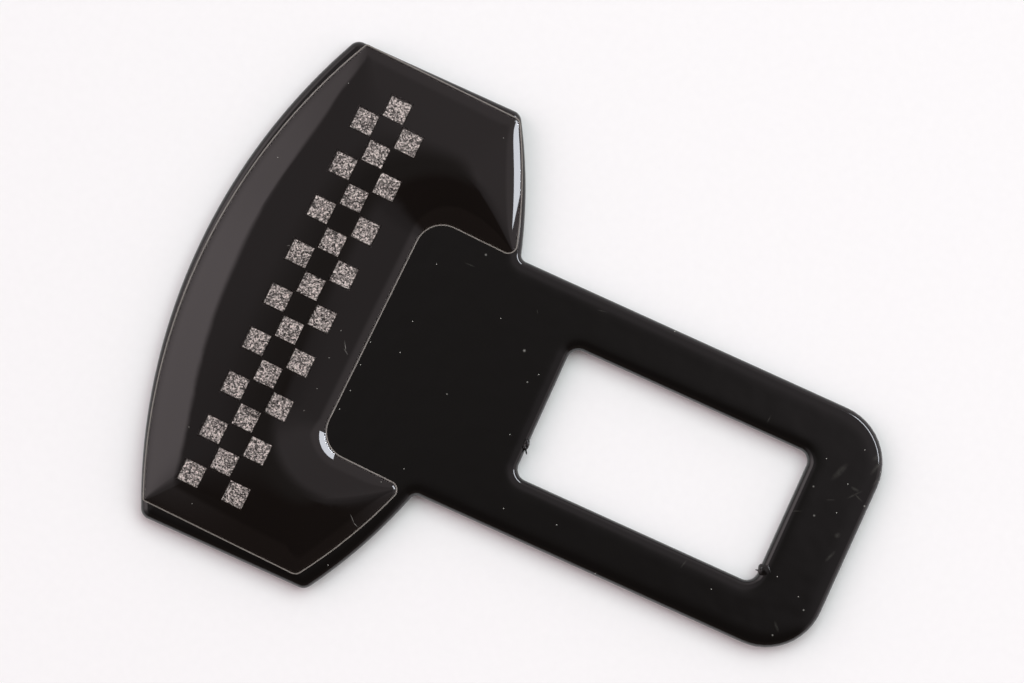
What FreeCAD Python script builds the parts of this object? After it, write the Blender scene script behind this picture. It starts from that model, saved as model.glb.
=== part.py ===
import FreeCAD, Part
import math
import os
from collections import namedtuple

# A plug for a car's seat belt buckle: a flat steel tongue in a thick glossy coat, with a domed badge on its head.
# Millimetres. X runs along the tongue to its tip, Y across it, and Z up through the badge.
# The origin is on the underside, in the middle of the plate's length and width.

# The coated plate, measured over its coat
overall_length = 68.4
head_width = 49.8
tongue_width = 24.5
tongue_length = 39.9
head_end_length = 17.1
bow_radius = 57.8
shoulder_radius = 49.9
head_corner_radius = 1.1
neck_fillet_radius = 0.7
tip_corner_radius = 5.7

# The window that the buckle's latch drops into
window_length = 25.0
window_width = 13.5
tip_bar = 7.0
window_corner_radius = 1.15

# Steel and coat
steel_thickness = 1.8
coat_thickness = 0.2
front_edge_radius = 0.9
back_edge_chamfer = 0.4

# Lumps that two hooks left in the coat, on the window's short walls
mark_radius = 0.55
mark_proud = 0.17
mark_height = 1.45
head_mark_offset = -3.7
tip_mark_offset = -5.1

# The badge follows the head's outline at a margin, and is cut out round the root of the tongue
badge_margin = 0.7
badge_waist = 18.0
badge_slot_undercut = 0.3
badge_bow_corner = 0.3
badge_lobe_corner = 0.9
badge_slot_corner = 2.6
sharpest_corner = 0.05

# The badge was laid on by hand, a little turned and off centre
badge_turn = -1.75
badge_shift_x = -0.15
badge_shift_y = 0.46

# Layers of the badge, from the plate up
adhesive_thickness = 0.08
film_thickness = 0.1
ink_thickness = 0.03
ink_rim = 0.12
dome_height = 1.3
dome_slope_width = 3.0
dome_slope_power = 2.2
dome_sections = 5
dome_corner_growth = 0.2

# The printed band of small squares
band_centre = 10.8
square_pitch = 2.33
square_gap = 0.25
square_columns = 18
square_rows = 3

# Sizes that follow from the ones above
coated_thickness = steel_thickness + 2 * coat_thickness
bow_vertex = -overall_length / 2
tip_end = overall_length / 2
head_end = head_width / 2
tongue_side = tongue_width / 2
bow_centre = bow_vertex + bow_radius
bow_end = bow_centre - math.sqrt(bow_radius**2 - head_end**2)
shoulder_start = bow_end + head_end_length
shoulder_end = tip_end - tongue_length
window_tip_wall = tip_end - tip_bar
window_head_wall = window_tip_wall - window_length
edge_limit = min(0.45 * coated_thickness, 0.9 * head_corner_radius)
front_round = min(front_edge_radius, edge_limit)
back_chamfer = min(back_edge_chamfer, edge_limit)
badge_vertex = bow_vertex + badge_margin
badge_slot_side = (tongue_width - badge_slot_undercut) / 2
film_base = coated_thickness + adhesive_thickness
film_top = film_base + film_thickness

# A side of an outline is straight or round. The material lies behind a straight side's outward
# direction and inside a round side's circle. A round side uses the half of its circle that lies
# towards the direction it names.
Straight = namedtuple("Straight", "point outward")
Round = namedtuple("Round", "centre radius towards")

# A corner has a radius, and either sticks out of the material or turns into it.
Corner = namedtuple("Corner", "radius sticks_out")

ALONG = FreeCAD.Vector(1, 0, 0)
ACROSS = FreeCAD.Vector(0, 1, 0)
UP = FreeCAD.Vector(0, 0, 1)


def straight_at_x(x, outward):
    return Straight(ALONG * x, ALONG * outward)


def straight_at_y(y, outward):
    return Straight(ACROSS * y, ACROSS * outward)


def moved_in(side, depth):
    """The side moved into the material by depth."""
    if isinstance(side, Straight):
        return Straight(side.point - side.outward * depth, side.outward)
    return Round(side.centre, side.radius - depth, side.towards)


def nearest_on(side, point):
    """The point of the side that is nearest to a given point."""
    if isinstance(side, Straight):
        return point - side.outward * (point - side.point).dot(side.outward)
    return side.centre + (point - side.centre).normalize() * side.radius


def crossing(first, second):
    """Where two neighbouring sides meet. One of them at least is straight."""
    if isinstance(first, Round):
        first, second = second, first
    direction = UP.cross(first.outward)
    if isinstance(second, Straight):
        reach = (second.point - first.point).dot(second.outward) / direction.dot(second.outward)
        return first.point + direction * reach
    middle = nearest_on(first, second.centre)
    half_chord = math.sqrt(second.radius**2 - (middle - second.centre).Length ** 2)
    if direction.dot(second.towards) < 0:
        half_chord = -half_chord
    return middle + direction * half_chord


def edge_between(side, start, end):
    """The stretch of a side from one point to another."""
    if isinstance(side, Straight):
        return Part.LineSegment(start, end).toShape()
    middle = nearest_on(side, (start + end) * 0.5)
    return Part.Arc(start, middle, end).toShape()


def outline(sides, corners, z):
    """A closed wire at height z. Corner number n rounds the meeting of side n and the next one."""
    rounds = []
    for number, corner in enumerate(corners):
        side = sides[number]
        following = sides[(number + 1) % len(sides)]
        depth = corner.radius if corner.sticks_out else -corner.radius
        centre = crossing(moved_in(side, depth), moved_in(following, depth))
        sharp = crossing(side, following)
        middle = centre + (sharp - centre).normalize() * corner.radius
        rounds.append((nearest_on(side, centre), middle, nearest_on(following, centre)))
    edges = []
    for number, side in enumerate(sides):
        leave_last = rounds[number - 1][2]
        reach_next, middle, leave_next = rounds[number]
        edges.append(edge_between(side, leave_last, reach_next))
        edges.append(Part.Arc(reach_next, middle, leave_next).toShape())
    wire = Part.Wire(edges)
    wire.translate(UP * z)
    return wire


def offset_outline(sides, corners, depth, z):
    """The outline moved into the material by depth, as a true parallel curve."""
    moved = [moved_in(side, depth) for side in sides]
    turned = []
    for corner in corners:
        radius = corner.radius - depth if corner.sticks_out else corner.radius + depth
        turned.append(Corner(max(radius, sharpest_corner), corner.sticks_out))
    return outline(moved, turned, z)


def shoulder(side):
    """The curve from the head's end to the root of the tongue, on the side of Y that side gives."""
    outer = FreeCAD.Vector(shoulder_start, side * head_end, 0)
    inner = FreeCAD.Vector(shoulder_end, side * tongue_side, 0)
    half_chord = (outer - inner) * 0.5
    to_centre = UP.cross(half_chord).normalize() * side
    distance = math.sqrt(shoulder_radius**2 - half_chord.Length**2)
    return Round((outer + inner) * 0.5 + to_centre * distance, shoulder_radius, ALONG)


bow = Round(ALONG * bow_centre, bow_radius, -ALONG)
head_corner = Corner(head_corner_radius, True)
neck_fillet = Corner(neck_fillet_radius, False)
tip_corner = Corner(tip_corner_radius, True)

plate_sides = [
    bow,
    straight_at_y(-head_end, -1),
    shoulder(-1),
    straight_at_y(-tongue_side, -1),
    straight_at_x(tip_end, 1),
    straight_at_y(tongue_side, 1),
    shoulder(1),
    straight_at_y(head_end, 1),
]
plate_corners = [
    head_corner,
    head_corner,
    neck_fillet,
    tip_corner,
    tip_corner,
    neck_fillet,
    head_corner,
    head_corner,
]

window_sides = [
    straight_at_x(window_head_wall, 1),
    straight_at_y(-window_width / 2, 1),
    straight_at_x(window_tip_wall, -1),
    straight_at_y(window_width / 2, -1),
]
window_corners = [Corner(window_corner_radius, False)] * len(window_sides)

# A lobe of the badge lies on each side of the slot. Its length and width limit the roundings and the dome's slope.
lobe_shoulder = moved_in(shoulder(1), badge_margin)
lobe_tip = crossing(lobe_shoulder, straight_at_y(badge_slot_side, -1)).x
lobe_length = lobe_tip - badge_vertex - badge_waist
lobe_width = head_end - badge_margin - badge_slot_side
lobe_room = min(lobe_length / 3, lobe_width / 4)
dome_slope = min(dome_slope_width, lobe_room)

badge_sides = [
    moved_in(bow, badge_margin),
    straight_at_y(badge_margin - head_end, -1),
    moved_in(shoulder(-1), badge_margin),
    straight_at_y(-badge_slot_side, 1),
    straight_at_x(badge_vertex + badge_waist, 1),
    straight_at_y(badge_slot_side, -1),
    lobe_shoulder,
    straight_at_y(head_end - badge_margin, 1),
]
bow_corner = Corner(badge_bow_corner, True)
lobe_corner = Corner(min(badge_lobe_corner, 0.3 * lobe_room), True)
slot_corner = Corner(min(badge_slot_corner, 0.86 * lobe_room), False)
badge_corners = [
    bow_corner,
    lobe_corner,
    lobe_corner,
    slot_corner,
    slot_corner,
    lobe_corner,
    lobe_corner,
    bow_corner,
]


def edges_at(body, z):
    """The edges of a body that lie in the level plane at height z."""
    return [edge for edge in body.Edges if all(abs(point.Point.z - z) < 1e-6 for point in edge.Vertexes)]


def slab(depth):
    """The plate with square edges and every face moved in by depth."""
    outer = offset_outline(plate_sides, plate_corners, depth, depth)
    window = offset_outline(window_sides, window_corners, depth, depth)
    body = Part.Face(outer).cut(Part.Face(window)).extrude(UP * (coated_thickness - 2 * depth))
    return body.Solids[0]


def coated_plate():
    """The plate over its coat. The punch rolled the front edges over, and the back ones were broken by tumbling."""
    body = slab(0)
    body = body.makeFillet(front_round, edges_at(body, coated_thickness))
    return body.makeChamfer(back_chamfer, edges_at(body, 0))


def hook_mark(wall, into_window, offset):
    """The lump where a hook held the plate while it was coated, standing a little out of a window wall."""
    centre = FreeCAD.Vector(wall - into_window * (mark_radius - mark_proud), offset, mark_height)
    return Part.makeSphere(mark_radius, centre)


def tongue_plate():
    """The steel inside the coat. Its chamfers leave the coat its full thickness across each edge."""
    diagonal = 2 - math.sqrt(2)
    body = slab(coat_thickness)
    front_edges = edges_at(body, coated_thickness - coat_thickness)
    body = body.makeChamfer(diagonal * (front_round - coat_thickness), front_edges)
    return body.makeChamfer(back_chamfer - diagonal * coat_thickness, edges_at(body, coat_thickness))


def black_coating():
    """A closed skin all round the steel, with the two hook marks."""
    skin = coated_plate()
    skin = skin.fuse(hook_mark(window_head_wall, 1, head_mark_offset))
    skin = skin.fuse(hook_mark(window_tip_wall, -1, tip_mark_offset))
    return skin.cut(tongue_plate())


def on_head(shape):
    """The badge's own drawing is square to the plate. This lays a piece of it on the head as it sits."""
    head_middle = FreeCAD.Vector((bow_vertex + shoulder_end) / 2, 0, 0)
    shape.rotate(head_middle, UP, badge_turn)
    shape.translate(FreeCAD.Vector(badge_shift_x, badge_shift_y, 0))
    return shape


def badge_layer(depth, base, thickness):
    wire = offset_outline(badge_sides, badge_corners, depth, base)
    return Part.Face(wire).extrude(UP * thickness)


def badge_adhesive():
    return on_head(badge_layer(0, coated_thickness, adhesive_thickness))


def badge_film():
    return on_head(badge_layer(0, film_base, film_thickness))


def band_squares():
    """The squares of the printed band that the black ink leaves open, every second one in each row."""
    size = square_pitch - square_gap
    squares = []
    for column in range(square_columns):
        for row in range(square_rows):
            if (column + row) % 2:
                continue
            x = badge_vertex + band_centre + (row - (square_rows - 1) / 2) * square_pitch
            y = (column - (square_columns - 1) / 2) * square_pitch
            corner = FreeCAD.Vector(x - size / 2, y - size / 2, film_top)
            squares.append(Part.makeBox(size, size, ink_thickness, corner))
    return squares


def ink_sheet():
    sheet = badge_layer(ink_rim, film_top, ink_thickness)
    return sheet.cut(Part.makeCompound(band_squares()))


def badge_ink():
    return on_head(ink_sheet())


def dome_outline(depth, z):
    """A level section of the dome. Its corners grow rounder as the resin's skin pulls in from the edge."""
    moved = [moved_in(side, depth) for side in badge_sides]
    rounder = []
    for corner in badge_corners:
        growth = dome_corner_growth if corner.sticks_out else 1
        rounder.append(Corner(corner.radius + growth * depth, corner.sticks_out))
    return outline(moved, rounder, z)


def badge_dome():
    """Clear resin that was poured on the film: steep at the film's edge, then level across the badge."""
    sections = []
    for number in range(dome_sections):
        share = number / (dome_sections - 1)
        rise = dome_height * (1 - (1 - share) ** dome_slope_power)
        sections.append(dome_outline(share * dome_slope, film_top + rise))
    as_solid, ruled, closed, degree = True, False, False, 3
    dome = Part.makeLoft(sections, as_solid, ruled, closed, degree)
    return on_head(dome.cut(ink_sheet()))


pieces = {
    "tongue_plate": tongue_plate,
    "black_coating": black_coating,
    "badge_adhesive": badge_adhesive,
    "badge_film": badge_film,
    "badge_ink": badge_ink,
    "badge_dome": badge_dome,
}

os.makedirs("parts", exist_ok=True)
for name, make in pieces.items():
    shape = make()
    shape.exportStep(f"parts/{name}.step")
    print(name, shape.ShapeType, len(shape.Solids), round(shape.Volume, 2), shape.isValid(), shape.BoundBox)
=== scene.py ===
import math
from collections import namedtuple

import bmesh
import bpy
from mathutils import Matrix, Vector


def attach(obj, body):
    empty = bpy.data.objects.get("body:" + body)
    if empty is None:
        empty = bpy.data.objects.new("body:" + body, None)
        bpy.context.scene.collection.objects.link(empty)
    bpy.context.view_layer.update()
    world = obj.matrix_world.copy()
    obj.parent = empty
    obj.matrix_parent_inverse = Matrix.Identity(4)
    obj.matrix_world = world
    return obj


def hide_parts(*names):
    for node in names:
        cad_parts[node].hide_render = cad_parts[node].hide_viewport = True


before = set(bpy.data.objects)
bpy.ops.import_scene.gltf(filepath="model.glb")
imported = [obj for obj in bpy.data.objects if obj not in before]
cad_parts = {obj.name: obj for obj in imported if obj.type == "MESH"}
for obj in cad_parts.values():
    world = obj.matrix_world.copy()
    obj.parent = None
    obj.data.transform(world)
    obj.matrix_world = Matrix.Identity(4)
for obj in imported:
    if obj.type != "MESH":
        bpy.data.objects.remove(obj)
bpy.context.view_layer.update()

# The drawing of the plug is in millimetres, in the frame of its solids. Finished pieces are in metres.
MM = 0.001

# The plate over its coat, as its solid has it
overall_length = 68.4
head_width = 49.8
tongue_width = 24.5
tongue_length = 39.9
head_end_length = 17.1
bow_radius = 57.8
shoulder_radius = 49.9
head_corner_radius = 1.1
neck_fillet_radius = 0.7
tip_corner_radius = 5.7
window_length = 25.0
window_width = 13.5
tip_bar = 7.0
window_corner_radius = 1.15
plate_thickness = 2.2
coat_thickness = 0.2
back_round = 0.62
steel_front_chamfer = 0.41
steel_back_chamfer = 0.28

# The badge and its resin, as their solids have them
badge_margin = 0.7
badge_waist = 18.0
badge_slot_undercut = 0.3
badge_bow_corner = 0.3
badge_lobe_corner = 0.9
badge_slot_corner = 2.6
band_centre = 10.8
square_pitch = 2.33
square_columns = 18
square_rows = 3
badge_turn = -1.75
badge_shift = Vector((-0.15, 0.46, 0))
film_top = 2.38
ink_top = 2.41
ink_rim = 0.12
dome_height = 1.3
dome_slope = 3.0
dome_corner_growth = 0.2

# Sizes that follow from the ones above
bow_vertex = -overall_length / 2
tip_end = overall_length / 2
head_end = head_width / 2
tongue_side = tongue_width / 2
bow_centre = bow_vertex + bow_radius
bow_end = bow_centre - math.sqrt(bow_radius**2 - head_end**2)
shoulder_start = bow_end + head_end_length
shoulder_end = tip_end - tongue_length
window_tip_wall = tip_end - tip_bar
window_head_wall = window_tip_wall - window_length
badge_vertex = bow_vertex + badge_margin
badge_slot_side = (tongue_width - badge_slot_undercut) / 2

ALONG = Vector((1, 0, 0))
ACROSS = Vector((0, 1, 0))
UP = Vector((0, 0, 1))

# Camera: straight above the plug, which lies turned under it, through a long lens
camera_turn = math.radians(24.4)
view_centre = Vector((-3.23, 4.81, plate_thickness))
view_width = 97.46
camera_height = 620.0
sensor_width = 36.0
camera_reach = (0.01, 20.0)  # the nearest and farthest that it sees, in metres

camera_data = bpy.data.cameras.new("camera")
camera_data.sensor_width = sensor_width
camera_data.lens = sensor_width * camera_height / view_width
camera_data.clip_start, camera_data.clip_end = camera_reach
camera = bpy.data.objects.new("camera", camera_data)
camera.location = (view_centre + UP * camera_height) * MM
camera.rotation_euler = (0, 0, camera_turn)
bpy.context.scene.collection.objects.link(camera)
bpy.context.scene.camera = camera

# Outlines. A side is straight or round: the material lies behind a straight side's outward direction,
# and inside a round side's circle, on the half of it that lies towards a direction.
Straight = namedtuple("Straight", "point outward")
Round = namedtuple("Round", "centre radius towards")
Corner = namedtuple("Corner", "radius sticks_out")

# How finely outlines are drawn: the steps round a corner and along a round side, the radius of the sharpest
# corner, how near two points are one, and the width of the rim round a level part
CORNER_STEPS = 12
SIDE_STEPS = 40
SHARPEST_CORNER = 0.05
SAME_POINT = 0.001
LEVEL_RIM = 0.12


def moved_in(side, depth):
    """The side moved into the material by depth."""
    if isinstance(side, Straight):
        return Straight(side.point - side.outward * depth, side.outward)
    return Round(side.centre, side.radius - depth, side.towards)


def nearest_on(side, point):
    """The point of the side that is nearest to a given point."""
    if isinstance(side, Straight):
        return point - side.outward * (point - side.point).dot(side.outward)
    return side.centre + (point - side.centre).normalized() * side.radius


def crossing(first, second):
    """Where two neighbouring sides meet. One of them at least is straight."""
    if isinstance(first, Round):
        first, second = second, first
    direction = UP.cross(first.outward)
    if isinstance(second, Straight):
        reach = (second.point - first.point).dot(second.outward) / direction.dot(second.outward)
        return first.point + direction * reach
    middle = nearest_on(first, second.centre)
    half_chord = math.sqrt(second.radius**2 - (middle - second.centre).length_squared)
    if direction.dot(second.towards) < 0:
        half_chord = -half_chord
    return middle + direction * half_chord


def draw_arc(bm, tip, centre, end, steps):
    """Carries the line on from its tip round a centre to the end, and gives its new tip."""
    start_arm = tip.co - centre
    end_arm = end - centre
    angle = math.atan2(start_arm.cross(end_arm).z, start_arm.dot(end_arm))
    spun = bmesh.ops.spin(
        bm, geom=[tip], cent=centre, axis=UP, dvec=(0, 0, 0), angle=angle, steps=steps, use_duplicate=False
    )
    return [part for part in spun["geom_last"] if isinstance(part, bmesh.types.BMVert)][0]


def draw_line(bm, tip, end):
    """Carries the line on from its tip straight to the end, and gives its new tip."""
    drawn = bmesh.ops.extrude_vert_indiv(bm, verts=[tip])["verts"][0]
    bmesh.ops.translate(bm, verts=[drawn], vec=end - tip.co)
    return drawn


def draw_outline(sides, corners, z):
    """A closed outline at height z, as a mesh of its own. Each corner rounds where its side meets the next."""
    arcs = []
    for number, corner in enumerate(corners):
        side = sides[number]
        following = sides[(number + 1) % len(sides)]
        depth = corner.radius if corner.sticks_out else -corner.radius
        centre = crossing(moved_in(side, depth), moved_in(following, depth))
        arcs.append((nearest_on(side, centre), centre, nearest_on(following, centre)))
    bm = bmesh.new()
    level = UP * z
    tip = bmesh.ops.create_vert(bm, co=arcs[-1][2] + level)["vert"][0]
    for side, (reach, centre, leave) in zip(sides, arcs):
        if isinstance(side, Round):
            tip = draw_arc(bm, tip, side.centre + level, reach + level, SIDE_STEPS)
        else:
            tip = draw_line(bm, tip, reach + level)
        tip = draw_arc(bm, tip, centre + level, leave + level, CORNER_STEPS)
    bmesh.ops.remove_doubles(bm, verts=bm.verts, dist=SAME_POINT)
    drawn = bpy.data.meshes.new("outline")
    bm.to_mesh(drawn)
    bm.free()
    return drawn


def offset_outline(sides, corners, depth, z, growth=1.0):
    """The outline moved into the material by depth. Its outer corners lose growth times depth of their radius."""
    moved = [moved_in(side, depth) for side in sides]
    turned = []
    for corner in corners:
        radius = corner.radius - growth * depth if corner.sticks_out else corner.radius + depth
        turned.append(Corner(max(radius, SHARPEST_CORNER), corner.sticks_out))
    return draw_outline(moved, turned, z)


def loft(bm, outlines):
    """Joins each outline to the next one with a band of faces, and gives the edges of the first and the last."""
    rings = []
    for drawn in outlines:
        before = set(bm.edges)
        bm.from_mesh(drawn)
        bpy.data.meshes.remove(drawn)
        rings.append([edge for edge in bm.edges if edge not in before])
    for ring, following in zip(rings, rings[1:]):
        bmesh.ops.bridge_loops(bm, edges=ring + following)
    return rings[0], rings[-1]


def fill_level(bm, edges):
    """Fills a level outline, and leaves one inside it open. A narrow rim keeps the level part's light even."""
    filled = bmesh.ops.triangle_fill(bm, edges=edges, use_beauty=True, normal=UP)["geom"]
    faces = [part for part in filled if isinstance(part, bmesh.types.BMFace)]
    bmesh.ops.recalc_face_normals(bm, faces=faces)
    bmesh.ops.inset_region(bm, faces=faces, thickness=LEVEL_RIM, use_boundary=True, use_even_offset=True)


def straight_at_x(x, outward):
    return Straight(ALONG * x, ALONG * outward)


def straight_at_y(y, outward):
    return Straight(ACROSS * y, ACROSS * outward)


def shoulder(side):
    """The curve from the head's end to the root of the tongue, on the side of Y that side gives."""
    outer = Vector((shoulder_start, side * head_end, 0))
    inner = Vector((shoulder_end, side * tongue_side, 0))
    half_chord = (outer - inner) * 0.5
    to_centre = UP.cross(half_chord).normalized() * side
    distance = math.sqrt(shoulder_radius**2 - half_chord.length_squared)
    return Round((outer + inner) * 0.5 + to_centre * distance, shoulder_radius, ALONG)


bow = Round(ALONG * bow_centre, bow_radius, -ALONG)
head_corner = Corner(head_corner_radius, True)
neck_fillet = Corner(neck_fillet_radius, False)
tip_corner = Corner(tip_corner_radius, True)

plate_sides = [
    bow,
    straight_at_y(-head_end, -1),
    shoulder(-1),
    straight_at_y(-tongue_side, -1),
    straight_at_x(tip_end, 1),
    straight_at_y(tongue_side, 1),
    shoulder(1),
    straight_at_y(head_end, 1),
]
half_plate_corners = [head_corner, head_corner, neck_fillet, tip_corner]
plate_corners = half_plate_corners + half_plate_corners[::-1]

window_sides = [
    straight_at_x(window_head_wall, 1),
    straight_at_y(-window_width / 2, 1),
    straight_at_x(window_tip_wall, -1),
    straight_at_y(window_width / 2, -1),
]
window_corners = [Corner(window_corner_radius, False)] * len(window_sides)

badge_sides = [
    moved_in(bow, badge_margin),
    straight_at_y(badge_margin - head_end, -1),
    moved_in(shoulder(-1), badge_margin),
    straight_at_y(-badge_slot_side, 1),
    straight_at_x(badge_vertex + badge_waist, 1),
    straight_at_y(badge_slot_side, -1),
    moved_in(shoulder(1), badge_margin),
    straight_at_y(head_end - badge_margin, 1),
]
bow_corner = Corner(badge_bow_corner, True)
lobe_corner = Corner(badge_lobe_corner, True)
slot_corner = Corner(badge_slot_corner, False)
half_badge_corners = [bow_corner, lobe_corner, lobe_corner, slot_corner]
badge_corners = half_badge_corners + half_badge_corners[::-1]

# Faces that meet at a wider turn than this, in degrees, keep a true edge between them
TRUE_EDGE = 38


def finished(bm, name, slot, *nodes):
    """Makes the drawn mesh a piece in metres, smooth but for its true edges. It stands for the nodes given."""
    bmesh.ops.scale(bm, vec=(MM, MM, MM), verts=bm.verts)
    mesh = bpy.data.meshes.new(name)
    bm.to_mesh(mesh)
    bm.free()
    mesh.shade_smooth()
    mesh.set_sharp_from_angle(angle=math.radians(TRUE_EDGE))
    piece = bpy.data.objects.new(name, mesh)
    bpy.context.scene.collection.objects.link(piece)
    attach(piece, "root")
    if nodes:
        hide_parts(*nodes)
    return piece


# The coat: a skin with rounded edges outside, and the steel's chamfered edges inside. Molten, it drew back from
# the front edges, so beyond their round it rises slowly to its full height.
edge_round = 0.55
edge_thinning = 0.22
thinning_length = 0.3
ROUND_STEPS = 10
RISE_STEPS = 8
RISE_STEP = 0.15
quarter_turn = [math.radians(90) * step / ROUND_STEPS for step in range(ROUND_STEPS + 1)]


def front_height(depth):
    """How high the coat's front lies at a depth from the plate's edge."""
    before_level = max(edge_round - depth, 0)
    drop = edge_round - math.sqrt(edge_round**2 - before_level**2)
    return plate_thickness - drop - edge_thinning * math.exp(-depth / thinning_length)


def outside_profile():
    """The coat's outside as depths into the plate and heights over its back, from its back to its front."""
    back = [(back_round * (1 - math.sin(angle)), back_round * (1 - math.cos(angle))) for angle in quarter_turn]
    depths = [edge_round * (1 - math.cos(angle)) for angle in quarter_turn]
    depths += [edge_round + RISE_STEP * step for step in range(1, RISE_STEPS + 1)]
    return back + [(depth, front_height(depth)) for depth in depths]


def inside_profile():
    """The steel's outside, which is the coat's inside, in the same way."""
    back = coat_thickness
    front = plate_thickness - coat_thickness
    return [
        (coat_thickness + steel_back_chamfer, back),
        (coat_thickness, back + steel_back_chamfer),
        (coat_thickness, front - steel_front_chamfer),
        (coat_thickness + steel_front_chamfer, front),
    ]


def add_plate_skin(bm, profile, faces_out):
    """A closed skin round the plate and round its window, from its back to its front."""
    before = set(bm.faces)
    outer = loft(bm, [offset_outline(plate_sides, plate_corners, depth, z) for depth, z in profile])
    inner = loft(bm, [offset_outline(window_sides, window_corners, depth, z) for depth, z in profile])
    for outer_ring, inner_ring in zip(outer, inner):
        fill_level(bm, outer_ring + inner_ring)
    made = [face for face in bm.faces if face not in before]
    bmesh.ops.recalc_face_normals(bm, faces=made)
    if not faces_out:
        bmesh.ops.reverse_faces(bm, faces=made)


bm = bmesh.new()
add_plate_skin(bm, outside_profile(), True)
add_plate_skin(bm, inside_profile(), False)
coat_skin = finished(bm, "coat_skin", "coating", "black_coating")

# The two lumps that hooks left in the coat. Each is drawn as rough round heaps: where a heap lies, its half
# lengths, and how far it is turned in degrees.
LUMP_ROUNDS = 3
LUMP_ROUGHNESS = 0.07
LUMP_RIPPLES = (19, 23, 17)
HEAD_SIDE_LUMP = [
    ((2.06, -3.6, 1.86), (0.32, 0.6, 0.4), 4),
    ((1.95, -3.34, 2.18), (0.16, 0.26, 0.13), -12),
    ((2.22, -3.5, 2.12), (0.1, 0.32, 0.16), 10),
    ((2.04, -3.88, 2.16), (0.17, 0.14, 0.12), 30),
    ((2.3, -4.12, 1.8), (0.08, 0.36, 0.12), 32),
]
TIP_SIDE_LUMP = [
    ((27.64, -5.12, 2.06), (0.62, 0.58, 0.2), 15),
    ((27.98, -4.82, 2.2), (0.1, 0.42, 0.1), 42),
    ((27.4, -5.2, 1.5), (0.3, 0.4, 0.6), 0),
    ((27.1, -4.86, 1.7), (0.12, 0.22, 0.44), -20),
    ((27.06, -5.36, 1.7), (0.22, 0.09, 0.38), 12),
    ((27.28, -5.1, 2.16), (0.12, 0.2, 0.1), 0),
]


def add_lump(bm, heaps):
    """Rough heaps of coat. They lie in one another and in the coat, which froze there."""
    for number, (centre, half_lengths, turn) in enumerate(heaps):
        shape = Matrix.Translation(centre) @ Matrix.Rotation(math.radians(turn), 4, "Z")
        shape = shape @ Matrix.Diagonal((*half_lengths, 1))
        made = bmesh.ops.create_icosphere(bm, subdivisions=LUMP_ROUNDS, radius=1, matrix=shape)
        for vert in made["verts"]:
            ripple_x, ripple_y, ripple_z = (length * count for length, count in zip(vert.co, LUMP_RIPPLES))
            ripple = math.sin(ripple_x + number) * math.sin(ripple_y) * math.sin(ripple_z)
            vert.co += (vert.co - Vector(centre)) * LUMP_ROUGHNESS * ripple


bm = bmesh.new()
add_lump(bm, HEAD_SIDE_LUMP)
add_lump(bm, TIP_SIDE_LUMP)
hook_marks = finished(bm, "hook_marks", "coating", "black_coating")

# The resin: poured on the film, it pulls up from every edge as a liquid does, steep at the edge and level
# within a few capillary lengths. Two slopes that meet at a corner of the badge meet at a crease, which is the
# crisper the higher crease_power is. The resin's underside lies a hair over the film and the ink, so that no
# two faces share a place. No point counts as nearer to an edge of the badge than the least distance.
capillary_length = 1.84
crease_power = 3.0
hair = 0.003
least_distance = 0.0001
SLOPE_STEPS = 24
MIDDLE_SPACING = 0.6


def slot_distance(point):
    """How far a point of the badge is from the slot over the tongue's root."""
    inward = badge_vertex + badge_waist + badge_slot_corner - point.x
    sideways = abs(point.y) - badge_slot_side + badge_slot_corner
    if inward > 0 and sideways > 0:
        return math.hypot(inward, sideways) - badge_slot_corner
    return max(inward, sideways) - badge_slot_corner


def edge_distances(point):
    """How far a point of the badge is from each of its edges: the bow, the end, the shoulder and the slot."""
    near_shoulder = moved_in(shoulder(math.copysign(1, point.y)), badge_margin)
    return (
        bow_radius - badge_margin - (point - bow.centre).length,
        head_end - badge_margin - abs(point.y),
        near_shoulder.radius - (point - near_shoulder.centre).length,
        slot_distance(point),
    )


def resin_height(point):
    """How high the resin stands over the film at a point of the badge. It is level far from every edge."""
    nearness = sum(max(distance, least_distance) ** -crease_power for distance in edge_distances(point))
    return dome_height * (1 - math.exp(-(nearness ** (-1 / crease_power)) / capillary_length))


def add_middle(bm, clear_of_edge):
    """A grid over the middle of the badge, and the edges round it. It keeps clear of the badge's edge."""
    before = set(bm.verts)
    half_span = head_end + badge_margin
    segments = round(2 * half_span / MIDDLE_SPACING)
    bmesh.ops.create_grid(
        bm,
        x_segments=segments,
        y_segments=segments,
        size=half_span,
        matrix=Matrix.Translation((badge_vertex + half_span, 0, film_top + dome_height)),
    )
    grid = [vert for vert in bm.verts if vert not in before]
    outside = [vert for vert in grid if min(edge_distances(vert.co * Vector((1, 1, 0)))) < clear_of_edge]
    bmesh.ops.delete(bm, geom=outside, context="VERTS")
    kept = [vert for vert in grid if vert.is_valid]
    loose = [edge for edge in {edge for vert in kept for edge in vert.link_edges} if not edge.link_faces]
    bmesh.ops.delete(bm, geom=loose, context="EDGES")
    alone = [vert for vert in kept if vert.is_valid and not vert.link_faces]
    bmesh.ops.delete(bm, geom=alone, context="VERTS")
    kept = [vert for vert in kept if vert.is_valid]
    return [edge for edge in {edge for vert in kept for edge in vert.link_edges} if edge.is_boundary]


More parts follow.
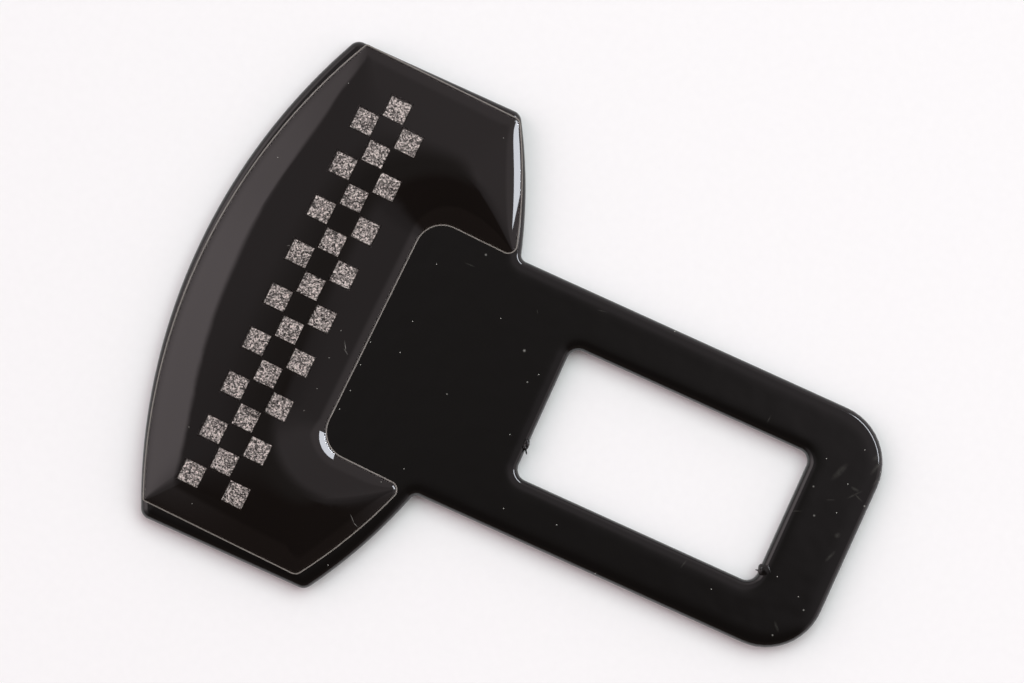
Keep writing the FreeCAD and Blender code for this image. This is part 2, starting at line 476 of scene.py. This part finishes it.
def add_resin(bm):
    """The resin's underside, its slope drawn as rings, and its middle. Then every point rises to its height."""
    underside = [offset_outline(badge_sides, badge_corners, ink_rim, z + hair) for z in (ink_top, film_top)]
    slope = []
    for step in range(SLOPE_STEPS + 1):
        share = step / SLOPE_STEPS
        level = film_top + hair + share * dome_height
        slope.append(offset_outline(badge_sides, badge_corners, share * dome_slope, level, -dome_corner_growth))
    first, last = loft(bm, underside + slope)
    fill_level(bm, first)
    level = add_middle(bm, dome_slope + 0.5 * MIDDLE_SPACING)
    bmesh.ops.triangle_fill(bm, edges=last + level, use_beauty=True, normal=UP)
    for vert in bm.verts:
        if vert.co.z > ink_top + 2 * hair:
            vert.co.z = film_top + hair + resin_height(Vector((vert.co.x, vert.co.y, 0)))
    bmesh.ops.recalc_face_normals(bm, faces=bm.faces)


bm = bmesh.new()
add_resin(bm)
head_middle = Vector(((bow_vertex + shoulder_end) / 2, 0, 0))
bmesh.ops.rotate(bm, cent=head_middle, matrix=Matrix.Rotation(math.radians(badge_turn), 3, "Z"), verts=bm.verts)
bmesh.ops.translate(bm, vec=badge_shift, verts=bm.verts)
resin_dome = finished(bm, "resin_dome", "clear_resin", "badge_dome")

# The floor: pale paper, far larger than the view
floor_reach = 1.5
bm = bmesh.new()
bmesh.ops.create_grid(bm, x_segments=1, y_segments=1, size=floor_reach)
floor_mesh = bpy.data.meshes.new("floor")
bm.to_mesh(floor_mesh)
bm.free()
floor = bpy.data.objects.new("floor", floor_mesh)
bpy.context.scene.collection.objects.link(floor)


# Materials. The sizes of what the finishes show are in millimetres.
orange_peel = 2.4
scuff_grain = 0.35
rolling_lines = 0.3
rolling_stretch = 0.05
adhesive_haze = 0.5
flake_size = 0.12
ink_mesh = 0.4
resin_wave = 9.0
paper_tooth = 0.8
# Dust: how far apart its places are, the radius of a speck, and the share of places that have one
coat_dust = (2.6, 0.045, 0.2)
resin_dust = (3.1, 0.042, 0.15)
# The Mix node's sockets for colours. They share their names with its other sockets, so they go by number.
FIRST = 6
SECOND = 7
MIXED = 2


def linear(hex_colour):
    """A colour as it is written in sRGB, turned into linear light."""
    channels = []
    for start in (1, 3, 5):
        value = int(hex_colour[start : start + 2], 16) / 255
        channels.append(value / 12.92 if value <= 0.04045 else ((value + 0.055) / 1.055) ** 2.4)
    return (*channels, 1)


def add(tree, kind, sockets=(), **properties):
    """Adds a node. Properties are the node's own, and each socket is given a value or another node's output."""
    made = tree.nodes.new(kind)
    for name, value in properties.items():
        setattr(made, name, value)
    for name, value in dict(sockets).items():
        if isinstance(value, bpy.types.NodeSocket):
            tree.links.new(value, made.inputs[name])
        else:
            made.inputs[name].default_value = value
    return made


def new_material(name):
    """An empty material's node tree, its output node, and the place on the piece that patterns read."""
    material = bpy.data.materials.new(name)
    material.use_nodes = True
    tree = material.node_tree
    tree.nodes.clear()
    output = tree.nodes.new("ShaderNodeOutputMaterial")
    place = tree.nodes.new("ShaderNodeTexCoord").outputs["Object"]
    return material, tree, output, place


def per_metre(size_mm):
    """The scale of a texture whose features are that many millimetres apart."""
    return 1 / (size_mm * MM)


# Light scuffs of the coat: where each lies, its half length and half width in millimetres, and its turn
SCUFFS = [
    (32.5, 5.0, 1.0, 0.12, 50),
    (32.9, 4.9, 0.7, 0.1, -20),
    (32.3, 5.5, 0.5, 0.2, -5),
    (33.3, 8.2, 1.0, 0.22, 75),
    (33.0, 9.2, 0.7, 0.3, 60),
    (33.8, 6.9, 0.7, 0.1, 74),
    (28.1, 1.3, 0.7, 0.07, 24),
    (30.6, 3.6, 0.5, 0.08, 24),
    (30.3, 6.4, 1.2, 0.35, 70),
    (32.6, 0.8, 0.35, 0.3, 60),
    (32.8, -1.3, 0.8, 0.2, 70),
    (3.4, 11.0, 0.6, 0.08, 12),
    (20.4, -7.7, 0.55, 0.1, 76),
    (30.9, -9.5, 0.6, 0.16, -46),
    (22.1, 8.2, 0.5, 0.07, 86),
    (-2.2, 8.4, 0.3, 0.07, -55),
    (-9.9, 9.8, 0.6, 0.09, 2),
]
# Hair scratches of the resin, given as the scuffs are
SCRATCHES = [
    (-17.5, -2.1, 0.55, 0.045, -58),
    (-17.2, -2.6, 0.4, 0.045, -34),
    (-10.1, -16.8, 0.5, 0.045, -44),
    (-9.6, -17.2, 0.4, 0.045, -22),
    (-26.2, 4.4, 0.35, 0.04, 30),
]
# Larger specks of dust on the coat: where each lies and its radius in millimetres
SPECKS = [
    (-1.8, 4.5, 0.17),
    (-8.9, 11.3, 0.14),
    (-0.3, 1.9, 0.1),
    (-6.8, -2.3, 0.1),
    (28.6, 4.1, 0.11),
    (29.8, 1.6, 0.13),
    (33.8, 4.4, 0.12),
    (32.6, -7.0, 0.11),
    (30.9, -10.4, 0.11),
]


def dust_mask(tree, place, spacing, radius, share):
    """White at round specks of a radius, both in millimetres. Only a share of the places has one."""
    cells = add(
        tree,
        "ShaderNodeTexVoronoi",
        {"Vector": place, "Scale": per_metre(spacing)},
        voronoi_dimensions="2D",
    )
    near = add(tree, "ShaderNodeMath", {0: cells.outputs["Distance"], 1: radius / spacing}, operation="LESS_THAN")
    chance = add(tree, "ShaderNodeSeparateColor", {"Color": cells.outputs["Color"]})
    chosen = add(tree, "ShaderNodeMath", {0: chance.outputs["Red"], 1: share}, operation="LESS_THAN")
    both = add(tree, "ShaderNodeMath", {0: near.outputs[0], 1: chosen.outputs[0]}, operation="MULTIPLY")
    return both.outputs[0]


def scuff_mask(tree, place, scuffs):
    """Pale in the middle of each scuff, fading to its edge, and broken up by a fine noise."""
    broken = add(tree, "ShaderNodeTexNoise", {"Vector": place, "Scale": per_metre(scuff_grain), "Detail": 2.0})
    total = 0.0
    for x, y, half_length, half_width, turn in scuffs:
        spot = add(
            tree,
            "ShaderNodeMapping",
            {
                "Vector": place,
                "Location": (x * MM, y * MM, 0),
                "Rotation": (0, 0, math.radians(turn)),
                "Scale": (half_length * MM, half_width * MM, 1),
            },
            vector_type="TEXTURE",
        )
        distance = add(tree, "ShaderNodeTexGradient", {"Vector": spot.outputs[0]}, gradient_type="SPHERICAL")
        total = add(tree, "ShaderNodeMath", {0: total, 1: distance.outputs["Fac"]}, operation="MAXIMUM").outputs[0]
    return add(tree, "ShaderNodeMath", {0: total, 1: broken.outputs["Fac"]}, operation="MULTIPLY").outputs[0]


def coat_material():
    """Thick black powder coat, baked glossy. It looks wet, with a faint orange peel, dust and light scuffs."""
    material, tree, output, place = new_material("black_gloss_powder_coat")
    peel = add(
        tree,
        "ShaderNodeTexNoise",
        {"Vector": place, "Scale": per_metre(orange_peel), "Detail": 1.0, "Roughness": 0.4},
    )
    bump = add(tree, "ShaderNodeBump", {"Height": peel.outputs["Fac"], "Strength": 0.35, "Distance": 0.02 * MM})
    scuffed = add(
        tree,
        "ShaderNodeMix",
        {"Factor": scuff_mask(tree, place, SCUFFS), FIRST: linear("#050505"), SECOND: linear("#3E3D3A")},
        data_type="RGBA",
    )
    specks = scuff_mask(tree, place, [(x, y, radius, radius, 0) for x, y, radius in SPECKS])
    dust = add(tree, "ShaderNodeMath", {0: dust_mask(tree, place, *coat_dust), 1: specks}, operation="MAXIMUM")
    colour = add(
        tree,
        "ShaderNodeMix",
        {"Factor": dust.outputs[0], FIRST: scuffed.outputs[MIXED], SECOND: linear("#B4B2AE")},
        data_type="RGBA",
    )
    shader = add(
        tree,
        "ShaderNodeBsdfPrincipled",
        {
            "Base Color": colour.outputs[MIXED],
            "Roughness": 0.09,
            "IOR": 1.5,
            "Normal": bump.outputs[0],
        },
    )
    tree.links.new(shader.outputs[0], output.inputs["Surface"])
    return material


def steel_material():
    """Cold-rolled mild steel, stamped. It lies inside the coat, grey, with fine rolling lines along the strip."""
    material, tree, output, place = new_material("cold_rolled_steel")
    along = add(tree, "ShaderNodeMapping", {"Vector": place, "Scale": (rolling_stretch, 1.0, 1.0)})
    lines = add(
        tree,
        "ShaderNodeTexNoise",
        {"Vector": along.outputs[0], "Scale": per_metre(rolling_lines), "Detail": 3.0},
    )
    tone = add(
        tree,
        "ShaderNodeMix",
        {"Factor": lines.outputs["Fac"], FIRST: linear("#9C9EA1"), SECOND: linear("#C4C6C8")},
        data_type="RGBA",
    )
    bump = add(tree, "ShaderNodeBump", {"Height": lines.outputs["Fac"], "Strength": 0.3, "Distance": 0.01 * MM})
    shader = add(
        tree,
        "ShaderNodeBsdfPrincipled",
        {"Base Color": tone.outputs[MIXED], "Metallic": 1.0, "Roughness": 0.35, "Normal": bump.outputs[0]},
    )
    tree.links.new(shader.outputs[0], output.inputs["Surface"])
    return material


def adhesive_material():
    """Clear acrylic adhesive film, rolled on. At its cut edge it looks milky, with a fine haze."""
    material, tree, output, place = new_material("acrylic_adhesive")
    haze = add(tree, "ShaderNodeTexNoise", {"Vector": place, "Scale": per_metre(adhesive_haze), "Detail": 2.0})
    tone = add(
        tree,
        "ShaderNodeMix",
        {"Factor": haze.outputs["Fac"], FIRST: linear("#3A3937"), SECOND: linear("#6B6A66")},
        data_type="RGBA",
    )
    shader = add(
        tree,
        "ShaderNodeBsdfPrincipled",
        {"Base Color": tone.outputs[MIXED], "Roughness": 0.5, "IOR": 1.47},
    )
    tree.links.new(shader.outputs[0], output.inputs["Surface"])
    return material


def film_material():
    """Metallised polyester film with glitter in its lacquer. Flakes lie at chance angles, so it looks grainy. The
    glints of flakes that face the light are painted into its colour, and its rim is painted an even tone.
    """
    material, tree, output, place = new_material("metallised_glitter_film")
    flakes = add(tree, "ShaderNodeTexVoronoi", {"Vector": place, "Scale": per_metre(flake_size)})
    chance = add(tree, "ShaderNodeSeparateColor", {"Color": flakes.outputs["Color"]})
    # Painted glints: few flakes face the light, so a few are painted bright and most are painted dark
    facing = add(tree, "ShaderNodeMath", {0: chance.outputs["Red"], 1: 2.0}, operation="POWER")
    glitter = add(
        tree,
        "ShaderNodeMix",
        {"Factor": facing.outputs[0], FIRST: linear("#080605"), SECOND: linear("#FAEFEE")},
        data_type="RGBA",
    )
    # Under the resin's steep edge light comes from all round, and the flakes blend into an even line. That even
    # light is painted: the film outside the band's squares takes this even tone in place of the glitter
    tone = add(
        tree,
        "ShaderNodeMix",
        {"Factor": band_cells(tree, place), FIRST: linear("#8A8683"), SECOND: glitter.outputs[MIXED]},
        data_type="RGBA",
    )
    bump = add(tree, "ShaderNodeBump", {"Height": chance.outputs["Green"], "Strength": 0.8, "Distance": 0.05 * MM})
    shader = add(
        tree,
        "ShaderNodeBsdfPrincipled",
        {"Base Color": tone.outputs[MIXED], "Metallic": 0.35, "Roughness": 0.45, "Normal": bump.outputs[0]},
    )
    tree.links.new(shader.outputs[0], output.inputs["Surface"])
    return material


def ink_material():
    """Black screen ink, printed and cured. It is smooth and nearly dead black, faintly uneven from the mesh."""
    material, tree, output, place = new_material("black_screen_ink")
    weave = add(tree, "ShaderNodeTexNoise", {"Vector": place, "Scale": per_metre(ink_mesh), "Detail": 2.0})
    tone = add(
        tree,
        "ShaderNodeMix",
        {"Factor": weave.outputs["Fac"], FIRST: linear("#0B0908"), SECOND: linear("#16110F")},
        data_type="RGBA",
    )
    shader = add(
        tree,
        "ShaderNodeBsdfPrincipled",
        {"Base Color": tone.outputs[MIXED], "Roughness": 0.5, "Specular IOR Level": 0.0},
    )
    tree.links.new(shader.outputs[0], output.inputs["Surface"])
    return material


def band_cells(tree, place):
    """White over the printed band's open squares and the narrow gaps round them."""
    centre = Vector((badge_vertex + band_centre, 0, 0)) - head_middle
    centre.rotate(Matrix.Rotation(math.radians(badge_turn), 3, "Z"))
    centre += head_middle + badge_shift
    on_band = add(
        tree,
        "ShaderNodeMapping",
        {
            "Vector": place,
            "Location": (centre.x * MM, centre.y * MM, 0),
            "Rotation": (0, 0, math.radians(badge_turn)),
            "Scale": (square_pitch * MM, square_pitch * MM, 1),
        },
        vector_type="TEXTURE",
    )
    across = add(tree, "ShaderNodeSeparateXYZ", {0: on_band.outputs[0]})
    from_corner = add(
        tree,
        "ShaderNodeVectorMath",
        {0: on_band.outputs[0], 1: (square_rows / 2, square_columns / 2, 1)},
        operation="ADD",
    )
    checks = add(tree, "ShaderNodeTexChecker", {"Vector": from_corner.outputs[0], "Scale": 1.0})
    white = checks.outputs["Fac"]
    for axis, cells in (("X", square_rows), ("Y", square_columns)):
        within = add(tree, "ShaderNodeMath", {0: across.outputs[axis], 1: 0.0, 2: cells / 2}, operation="COMPARE")
        white = add(tree, "ShaderNodeMath", {0: white, 1: within.outputs[0]}, operation="MULTIPLY").outputs[0]
    return white


def resin_material():
    """Clear polyurethane resin, poured and cured. It looks wet, with a soft wave in its skin, dust and scratches.
    Over the ink it takes the ink's black, for light from above alone. Over the band's squares and the silver rim
    it is as clear as glass and lets the film show."""
    material, tree, output, place = new_material("clear_polyurethane_resin")
    wave = add(tree, "ShaderNodeTexNoise", {"Vector": place, "Scale": per_metre(resin_wave), "Detail": 0.0})
    bump = add(tree, "ShaderNodeBump", {"Height": wave.outputs["Fac"], "Strength": 0.3, "Distance": 0.06 * MM})
    side = tree.nodes.new("ShaderNodeNewGeometry")
    clear = add(tree, "ShaderNodeBsdfTransparent", {"Color": (0.97, 0.965, 0.955, 1)})
    gloss = add(
        tree,
        "ShaderNodeBsdfGlossy",
        {"Color": (1, 1, 1, 1), "Roughness": 0.03, "Normal": bump.outputs[0]},
    )
    mirror = add(tree, "ShaderNodeFresnel", {"IOR": 1.5, "Normal": bump.outputs[0]})
    from_above = add(tree, "ShaderNodeMath", {0: 1.0, 1: side.outputs["Backfacing"]}, operation="SUBTRACT")
    share = add(tree, "ShaderNodeMath", {0: mirror.outputs[0], 1: from_above.outputs[0]}, operation="MULTIPLY")
    glass = add(tree, "ShaderNodeMixShader", {0: share.outputs[0], 1: clear.outputs[0], 2: gloss.outputs[0]})

    specks = dust_mask(tree, place, *resin_dust)
    scratched = add(
        tree,
        "ShaderNodeMix",
        {"Factor": scuff_mask(tree, place, SCRATCHES), FIRST: linear("#0B0807"), SECOND: linear("#B4B0AC")},
        data_type="RGBA",
    )
    tone = add(
        tree,
        "ShaderNodeMix",
        {"Factor": specks, FIRST: scratched.outputs[MIXED], SECOND: linear("#8C8A86")},
        data_type="RGBA",
    )
    on_ink = add(
        tree,
        "ShaderNodeBsdfPrincipled",
        {"Base Color": tone.outputs[MIXED], "Roughness": 0.03, "IOR": 1.5, "Normal": bump.outputs[0]},
    )
    height = add(tree, "ShaderNodeSeparateXYZ", {0: place})
    clear_edge = Vector((badge_vertex + 2 * ink_rim, 0, 0))
    rim_top = film_top + resin_height(clear_edge) + hair
    inked = add(tree, "ShaderNodeMath", {0: height.outputs["Z"], 1: rim_top * MM}, operation="GREATER_THAN")
    closed = add(tree, "ShaderNodeMath", {0: 1.0, 1: band_cells(tree, place)}, operation="SUBTRACT")
    inked = add(tree, "ShaderNodeMath", {0: inked.outputs[0], 1: closed.outputs[0]}, operation="MULTIPLY")
    inked = add(tree, "ShaderNodeMath", {0: inked.outputs[0], 1: from_above.outputs[0]}, operation="MULTIPLY")
    shader = add(tree, "ShaderNodeMixShader", {0: inked.outputs[0], 1: glass.outputs[0], 2: on_ink.outputs[0]})
    tree.links.new(shader.outputs[0], output.inputs["Surface"])
    return material


def paper_material():
    """Matt white paper sweep, with a barely seen tooth."""
    material, tree, output, place = new_material("matt_white_paper")
    tooth = add(tree, "ShaderNodeTexNoise", {"Vector": place, "Scale": per_metre(paper_tooth), "Detail": 2.0})
    tone = add(
        tree,
        "ShaderNodeMix",
        {"Factor": tooth.outputs["Fac"], FIRST: linear("#F6F4F6"), SECOND: linear("#F9F7F9")},
        data_type="RGBA",
    )
    shader = add(tree, "ShaderNodeBsdfDiffuse", {"Color": tone.outputs[MIXED], "Roughness": 0.5})
    tree.links.new(shader.outputs[0], output.inputs["Surface"])
    return material


def dress(target, material):
    """Gives a piece its one material."""
    target.data.materials.clear()
    target.data.materials.append(material)


coat = coat_material()
resin = resin_material()
dress(coat_skin, coat)
dress(hook_marks, coat)
dress(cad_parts["black_coating"], coat)
dress(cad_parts["tongue_plate"], steel_material())
dress(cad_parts["badge_adhesive"], adhesive_material())
dress(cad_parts["badge_film"], film_material())
dress(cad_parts["badge_ink"], ink_material())
dress(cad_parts["badge_dome"], resin)
dress(resin_dome, resin)
dress(floor, paper_material())

# Light: a pale room round the table, as the gloss of the plug shows it. It is brightest beyond the bow, pale
# beyond the tongue and the upper end, and dim where someone would stand. Overhead is the dim camera.
# Each band of the room has a brightness at several directions in degrees, turning from +X to +Y.
NEAR_HORIZON = [
    (-180, 0.95), (-158, 1.15), (-120, 0.4), (-92, 0.18), (-30, 0.2), (-16, 0.6), (0, 0.9), (25, 1.0), (90, 0.78),
    (157, 1.0), (180, 0.95),
]
HIGH_UP = [
    (-180, 1.92), (-158, 1.8), (-120, 0.5), (-92, 0.15), (-30, 0.16), (-16, 0.55), (0, 0.8), (25, 0.85), (90, 0.74),
    (145, 0.9), (157, 1.35), (168, 1.65), (180, 1.92),
]
ROUND_CAMERA = [
    (-180, 0.42), (-150, 0.33), (-92, 0.09), (-30, 0.1), (-14, 0.32), (0, 0.42), (25, 0.6), (90, 0.56), (158, 0.42),
    (180, 0.42),
]
AT_CAMERA = 0.2
BRIGHTEST = 2.0
# The room's tints: of its pale parts, of the parts dimmer than a brightness, and of the camera
PALE_TINT = (1, 0.88, 0.9)
DIM_TINT = (1, 0.74, 0.66)
DIM_BELOW = 0.3
CAMERA_TINT = (1, 0.88, 0.84)
# How far from straight up each band begins and is full, in degrees. The high band begins at the upper edge of the
# room's pale walls, which differs round the room, and is full within a share of that angle.
CAMERA_EDGE = (0.5, 5)
HORIZON_EDGE = (50, 75)
WALL_EDGE = [
    (-180, 15.2), (-160, 13), (-120, 18), (-60, 30), (0, 47), (25, 32), (90, 37), (145, 37), (156.5, 32),
    (158.5, 25.5), (161, 22), (166, 19.2), (172, 17.3), (180, 15.2),
]
WALL_EDGE_MOST = 50.0
WALL_EDGE_SOFTNESS = 0.13

world = bpy.data.worlds.new("studio")
bpy.context.scene.world = world
world.use_nodes = True
tree = world.node_tree
tree.nodes.clear()
direction = tree.nodes.new("ShaderNodeTexCoord").outputs["Generated"]
parts = add(tree, "ShaderNodeSeparateXYZ", {0: direction})
bearing = add(tree, "ShaderNodeMath", {0: parts.outputs["Y"], 1: parts.outputs["X"]}, operation="ARCTAN2")
from_top = add(tree, "ShaderNodeMath", {0: parts.outputs["Z"]}, operation="ARCCOSINE")
turn = add(tree, "ShaderNodeMapRange", {"Value": bearing.outputs[0], "From Min": -math.pi, "From Max": math.pi})


def round_the_room(colours, interpolation):
    """A colour for every direction round the room, from the colours at several directions in degrees."""
    ramp = add(tree, "ShaderNodeValToRGB", {0: turn.outputs[0]})
    ramp.color_ramp.interpolation = interpolation
    elements = ramp.color_ramp.elements
    while len(elements) > 1:
        elements.remove(elements[-1])
    for number, (degrees, colour) in enumerate(colours):
        share_of_turn = (degrees + 180) / 360
        element = elements[0] if number == 0 else elements.new(share_of_turn)
        element.position = share_of_turn
        element.color = (*colour, 1)
    return ramp.outputs[0]


def tinted(brightness, tint):
    """A brightness as a share of the brightest, in a tint."""
    return [brightness / BRIGHTEST * channel for channel in tint]


def band(stops):
    """The light round one band of the room, warmer where it is dim."""
    colours = [(degrees, tinted(value, DIM_TINT if value < DIM_BELOW else PALE_TINT)) for degrees, value in stops]
    return round_the_room(colours, "EASE")


def between(low_angle, high_angle, low_band, high_band):
    """Blends two bands over a range of angles from straight up, in radians."""
    share = add(
        tree,
        "ShaderNodeMapRange",
        {"Value": from_top.outputs[0], "From Min": low_angle, "From Max": high_angle},
        interpolation_type="SMOOTHSTEP",
    )
    mixed = add(
        tree,
        "ShaderNodeMix",
        {"Factor": share.outputs[0], FIRST: low_band, SECOND: high_band},
        data_type="RGBA",
    )
    return mixed.outputs[MIXED]


wall_edge = round_the_room([(degrees, [angle / WALL_EDGE_MOST] * 3) for degrees, angle in WALL_EDGE], "LINEAR")
wall_edge_angles = []
for share in (1 - WALL_EDGE_SOFTNESS, 1 + WALL_EDGE_SOFTNESS):
    most = math.radians(WALL_EDGE_MOST) * share
    angle = add(tree, "ShaderNodeMath", {0: wall_edge, 1: most}, operation="MULTIPLY")
    wall_edge_angles.append(angle.outputs[0])
room = between(*map(math.radians, CAMERA_EDGE), [*tinted(AT_CAMERA, CAMERA_TINT), 1], band(ROUND_CAMERA))
room = between(*wall_edge_angles, room, band(HIGH_UP))
room = between(*map(math.radians, HORIZON_EDGE), room, band(NEAR_HORIZON))
back = add(tree, "ShaderNodeBackground", {0: room, 1: BRIGHTEST})
output = tree.nodes.new("ShaderNodeOutputWorld")
tree.links.new(back.outputs[0], output.inputs[0])


def add_lamp(name, azimuth, elevation, distance, width, height, power, colour):
    """A rectangular lamp that faces the plug: degrees for its direction, metres for its sizes, and watts."""
    data = bpy.data.lights.new(name, "AREA")
    data.shape = "RECTANGLE"
    data.size = width
    data.size_y = height
    data.energy = power
    data.color = linear(colour)[:3]
    lamp = bpy.data.objects.new(name, data)
    turned = math.radians(azimuth)
    raised = math.radians(elevation)
    level = math.cos(raised)
    toward = Vector((math.cos(turned) * level, math.sin(turned) * level, math.sin(raised)))
    lamp.location = view_centre * MM + toward * distance
    lamp.rotation_euler = toward.to_track_quat("Z", "Y").to_euler()
    bpy.context.scene.collection.objects.link(lamp)
    return lamp


# The window is seen in the gloss, and the skylight casts the soft shadows
window = add_lamp(
    "window", azimuth=49, elevation=36, distance=0.7, width=0.57, height=0.2, power=5.5, colour="#F2F6FF"
)
window.visible_diffuse = False
skylight = add_lamp(
    "skylight", azimuth=76, elevation=62, distance=0.9, width=0.9, height=0.7, power=4.9, colour="#EAFFFA"
)
skylight.visible_glossy = False

view = bpy.context.scene.view_settings
view.view_transform = "Standard"
